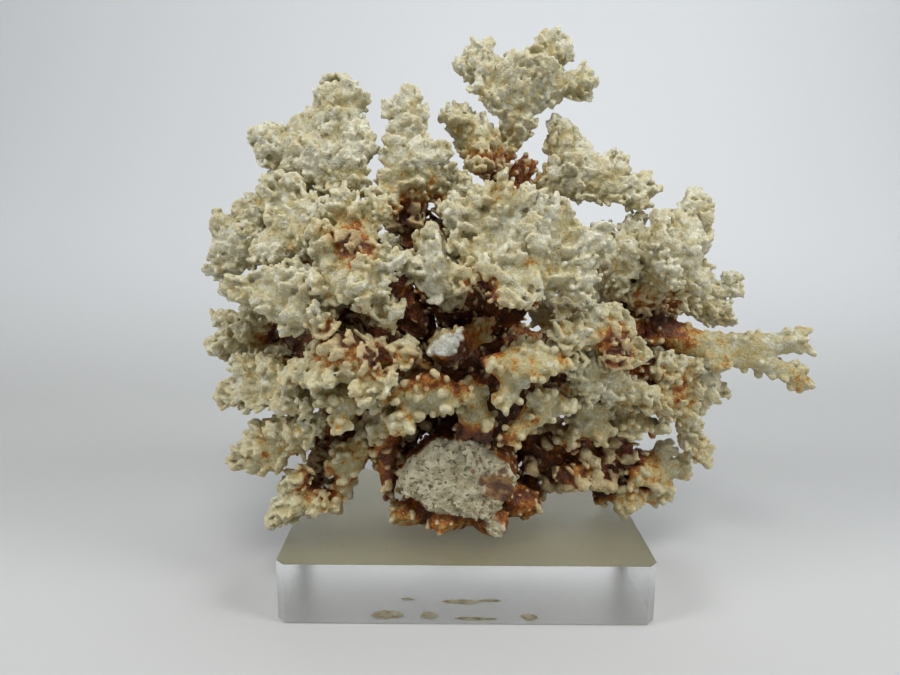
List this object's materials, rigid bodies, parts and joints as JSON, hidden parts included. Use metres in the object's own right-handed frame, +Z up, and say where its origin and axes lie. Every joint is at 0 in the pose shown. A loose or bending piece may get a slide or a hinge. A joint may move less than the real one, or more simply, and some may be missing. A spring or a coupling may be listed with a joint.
{
  "type": "mounted branching coral",
  "caption": "Branching coral colony with knobbly fan-shaped fronds and a broken stump, glued on a clear acrylic display block",
  "frame": {"origin": "centre of the acrylic block's underside, which is the surface the part stands on", "axes": "+X to the viewer's right when the coral's broken stump faces the viewer, along the block's long side; +Y to the back; +Z up"},
  "size_m": [0.2603, 0.1493, 0.2374],
  "materials": {
    "clear_acrylic": "polished clear cast acrylic",
    "coral_stump": "dry porous coral skeleton, broken face, crusted rim",
    "coral_limbs": "dark red-brown stained, granular coral skeleton",
    "coral_fronds": "cream coral skeleton with rust stains in the recesses"
  },
  "bodies": {
    "root": {"acrylic_block": "clear_acrylic", "back_centre_frond": "coral_fronds", "back_far_left_frond": "coral_fronds", "back_far_right_frond": "coral_fronds", "back_left_frond": "coral_fronds", "back_limb": "coral_limbs", "back_low_centre_frond": "coral_fronds", "back_low_left_frond": "coral_fronds", "back_low_right_frond": "coral_fronds", "back_right_frond": "coral_fronds", "back_top_frond": "coral_fronds", "back_upper_left_frond": "coral_fronds", "back_upper_right_frond": "coral_fronds", "broken_stub": "coral_fronds", "centre_claws": "coral_fronds", "centre_frond": "coral_fronds", "centre_left_claws": "coral_fronds", "centre_left_frond": "coral_fronds", "centre_limb": "coral_limbs", "centre_low_claws": "coral_fronds", "centre_right_claws": "coral_fronds", "crown_frond": "coral_fronds", "crown_limb": "coral_limbs", "crown_shoulder": "coral_fronds", "far_left_middle_frond": "coral_fronds", "far_left_upper_frond": "coral_fronds", "front_limb": "coral_limbs", "hanging_lobes": "coral_fronds", "holdfast": "coral_stump", "left_front_frond": "coral_fronds", "left_limb": "coral_limbs", "left_low_fork": "coral_fronds", "left_lower_middle_frond": "coral_fronds", "left_lower_upper_frond": "coral_fronds", "left_lowest_frond": "coral_fronds", "left_mid_frond": "coral_fronds", "left_shoulder_frond": "coral_fronds", "left_under_frond": "coral_fronds", "left_upper_frond": "coral_fronds", "long_right_branch": "coral_fronds", "low_centre_curl": "coral_fronds", "lower_left_limb": "coral_limbs", "lower_right_foot": "coral_fronds", "lower_right_knobs": "coral_fronds", "lower_right_limb": "coral_limbs", "middle_top_limb": "coral_limbs", "right_back_lobes": "coral_fronds", "right_cavity_frond": "coral_fronds", "right_centre_frond": "coral_fronds", "right_inner_frond": "coral_fronds", "right_limb": "coral_limbs", "right_low_frond": "coral_fronds", "right_lower_frond": "coral_fronds", "right_top_branch": "coral_fronds", "right_under_frond": "coral_fronds", "right_upper_frond": "coral_fronds", "top_left_frond": "coral_fronds", "top_middle_frond": "coral_fronds", "top_middle_side": "coral_fronds", "upper_left_limb": "coral_limbs"}
  },
  "joints": []
}
